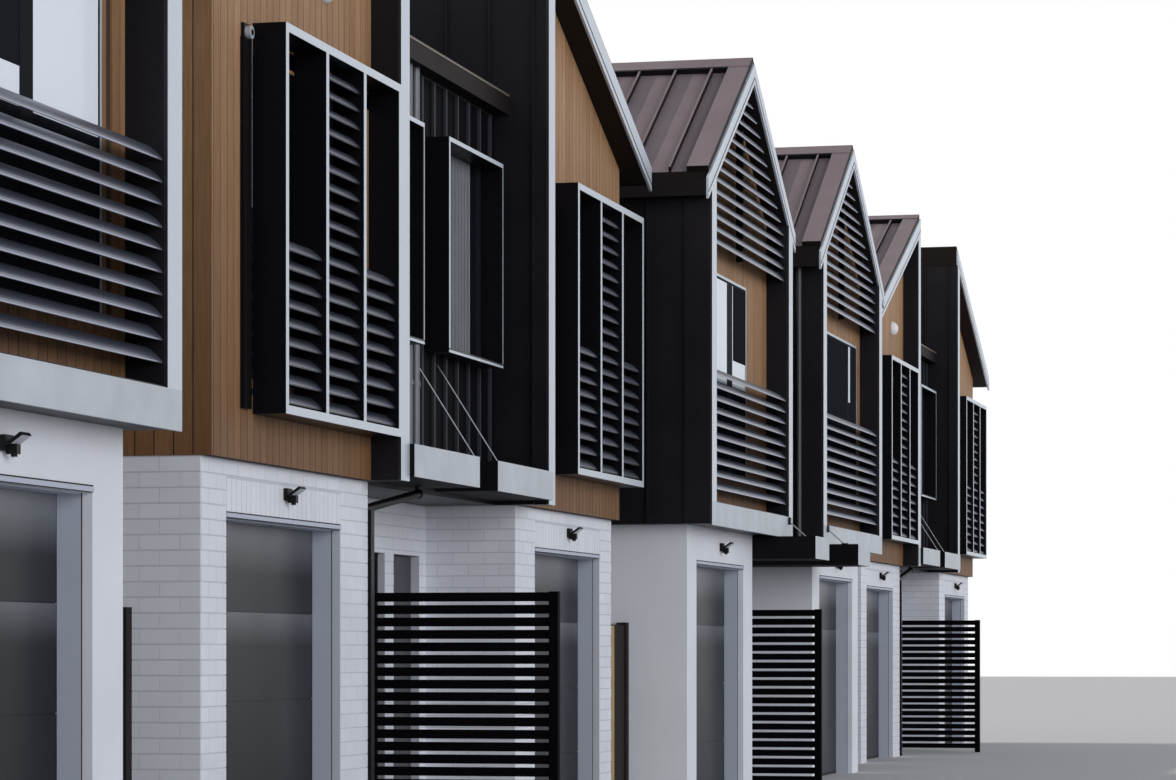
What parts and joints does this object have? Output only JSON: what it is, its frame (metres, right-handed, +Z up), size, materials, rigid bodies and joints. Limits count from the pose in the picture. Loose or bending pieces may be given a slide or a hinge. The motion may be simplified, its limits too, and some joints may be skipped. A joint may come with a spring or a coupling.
{
  "type": "terraced house row",
  "caption": "Row of narrow two-storey houses with garages below, gabled or half-gabled timber and dark metal upper storeys, louvre screens, recessed entries and slatted fences.",
  "frame": {"origin": "middle of the row's box, at ground level", "axes": "+X along the row from the first house to the seventh, +Y from the fronts to the rear, +Z up"},
  "size_m": [39.6, 9.79, 6.87],
  "materials": {
    "painted_brick": "white paint on brickwork",
    "plaster": "smooth painted render",
    "concrete": "floated concrete",
    "timber_board": "oiled upright boards",
    "dark_cladding": "satin dark paint",
    "roof_metal": "matt brown-grey paint",
    "silver_trim": "satin silver",
    "blade_metal": "satin dark silver",
    "screen_metal": "satin black paint",
    "glass": "clear glass",
    "garage_metal": "satin dark grey paint",
    "door_paint": "satin dark paint",
    "fence_metal": "powder coated black",
    "fence_timber": "sawn timber",
    "pipe_metal": "painted dark grey",
    "stay_steel": "drawn steel",
    "fitting_plastic": "moulded plastic"
  },
  "bodies": {
    "house_row": {"brick_side_walls": "painted_brick", "brick_piers": "painted_brick", "brick_lintels": "painted_brick", "plaster_side_walls": "plaster", "plaster_piers": "plaster", "plaster_lintels": "plaster", "entry_piers": "painted_brick", "entry_heads_and_sills": "painted_brick", "link_rear_walls": "painted_brick", "ground_slabs": "concrete", "garage_doors": "garage_metal", "entry_doors_shut": "door_paint", "entry_sidelights": "glass", "rear_doors": "glass", "floor_decks": "dark_cladding", "timber_piers": "timber_board", "timber_infills": "timber_board", "timber_side_walls": "timber_board", "clad_side_walls": "dark_cladding", "gable_walls": "dark_cladding", "link_piers": "dark_cladding", "link_infills": "dark_cladding", "link_roofs": "roof_metal", "half_gable_roofs": "roof_metal", "gable_roofs_link_side": "roof_metal", "gable_roofs_outer_side": "roof_metal", "barge_boards": "silver_trim", "barge_boards_outer": "silver_trim", "fin_edges": "silver_trim", "sill_bands": "silver_trim", "balustrade_blades": "blade_metal", "gable_louvres": "blade_metal", "screen_boxes": "screen_metal", "screen_rails": "screen_metal", "window_box_sides": "screen_metal", "window_box_caps": "screen_metal", "window_panes": "glass", "gutters": "roof_metal", "downpipes": "pipe_metal", "canopies": "dark_cladding", "canopy_stays": "stay_steel", "slatted_fences": "fence_metal", "side_fences": "fence_timber", "wall_fittings": "fitting_plastic"},
    "door": {"entry_door": "door_paint"}
  },
  "joints": [
    {"name": "entry_door_hinge", "type": "hinge", "parent": "house_row", "child": "door", "pos_m": [-6.9873, -3.074, 0], "axis": [0, 0, -1], "range_deg": [0, 90]}
  ]
}
